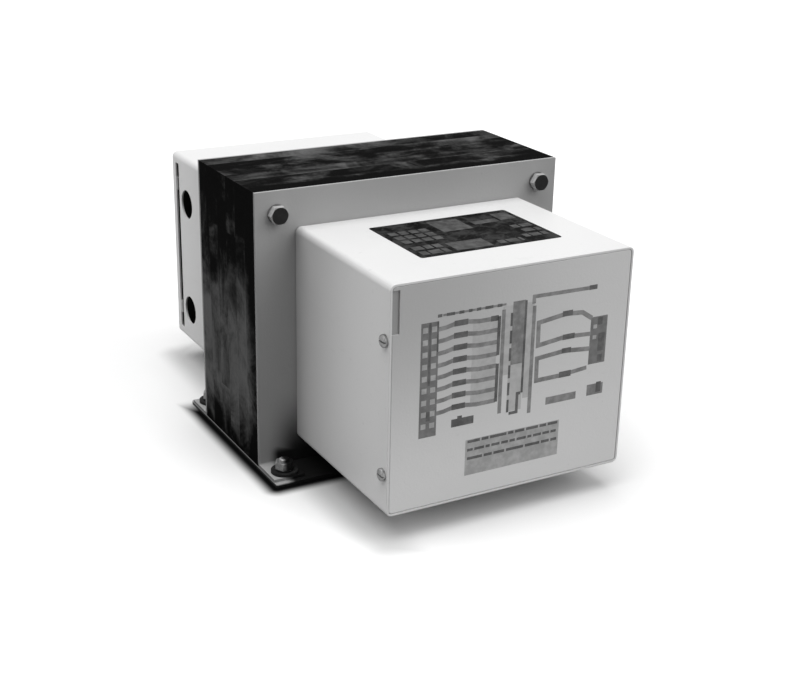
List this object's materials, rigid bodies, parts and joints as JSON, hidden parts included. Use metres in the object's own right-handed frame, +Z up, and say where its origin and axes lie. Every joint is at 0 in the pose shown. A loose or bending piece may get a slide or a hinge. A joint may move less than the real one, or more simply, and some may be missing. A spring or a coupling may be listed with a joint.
{
  "type": "dry type transformer",
  "caption": "Dry type transformer: vertical laminated core between two folded frames on a flat base, with a grey sheet steel end bell over the coil on each side.",
  "frame": {"origin": "middle of the base plate's underside, which is the bottom centre of the whole part", "axes": "+Z up; +Y from the front bell (diagram cover) to the rear bell, along the stack of laminations; +X to the right seen from the front"},
  "size_m": [0.2286, 0.353, 0.193],
  "materials": {
    "bell_paint": "semi-gloss light grey baked enamel",
    "frame_paint": "satin light grey paint, one shade darker than the bells",
    "core_varnish": "black dipped varnish over stacked sheet edges",
    "zinc": "bright zinc plate",
    "insulation": "moulded nylon",
    "paper": "varnished kraft paper",
    "copper_wire": "enamelled copper wire",
    "board_phenolic": "pressed phenolic",
    "brass": "turned brass",
    "tinned_copper": "tinned",
    "lead_insulation": "rubber-like sleeve",
    "isolator_rubber": "matt black rubber",
    "label_film": null,
    "print_ink": null,
    "earth_green": "green lacquer"
  },
  "bodies": {
    "root": {"base_plate": "frame_paint", "foot_studs": "zinc", "foot_isolators": "isolator_rubber", "foot_washers": "zinc", "foot_nuts": "zinc", "front_frame": "frame_paint", "rear_frame": "frame_paint", "e_laminations_legs_up": "core_varnish", "i_laminations_top": "core_varnish", "e_laminations_legs_down": "core_varnish", "i_laminations_bottom": "core_varnish", "core_bolts": "zinc", "core_bolt_sleeves": "insulation", "core_bolt_washers": "zinc", "core_bolt_nuts": "zinc", "coil_former": "insulation", "primary_winding": "copper_wire", "winding_barrier": "paper", "secondary_winding": "copper_wire", "coil_wrap": "paper", "coil_wedges": "board_phenolic", "front_bell": "bell_paint", "front_entry_panel": "bell_paint", "front_cover": "bell_paint", "front_cover_screws": "zinc", "front_bell_studs": "zinc", "front_bell_nuts": "zinc", "front_earth_stud": "zinc", "front_earth_washer": "zinc", "front_earth_nut": "earth_green", "rear_bell": "bell_paint", "rear_entry_panel": "bell_paint", "rear_cover": "bell_paint", "rear_cover_screws": "zinc", "rear_bell_studs": "zinc", "rear_bell_nuts": "zinc", "rear_earth_stud": "zinc", "rear_earth_washer": "zinc", "rear_earth_nut": "earth_green", "primary_board_brackets": "zinc", "primary_terminal_board": "board_phenolic", "primary_board_screws": "zinc", "primary_terminals": "brass", "primary_lugs": "tinned_copper", "primary_terminal_nuts": "brass", "primary_leads": "lead_insulation", "secondary_board_brackets": "zinc", "secondary_terminal_board": "board_phenolic", "secondary_board_screws": "zinc", "secondary_terminals": "brass", "secondary_lugs": "tinned_copper", "secondary_terminal_nuts": "brass", "secondary_leads": "lead_insulation"}
  },
  "joints": []
}
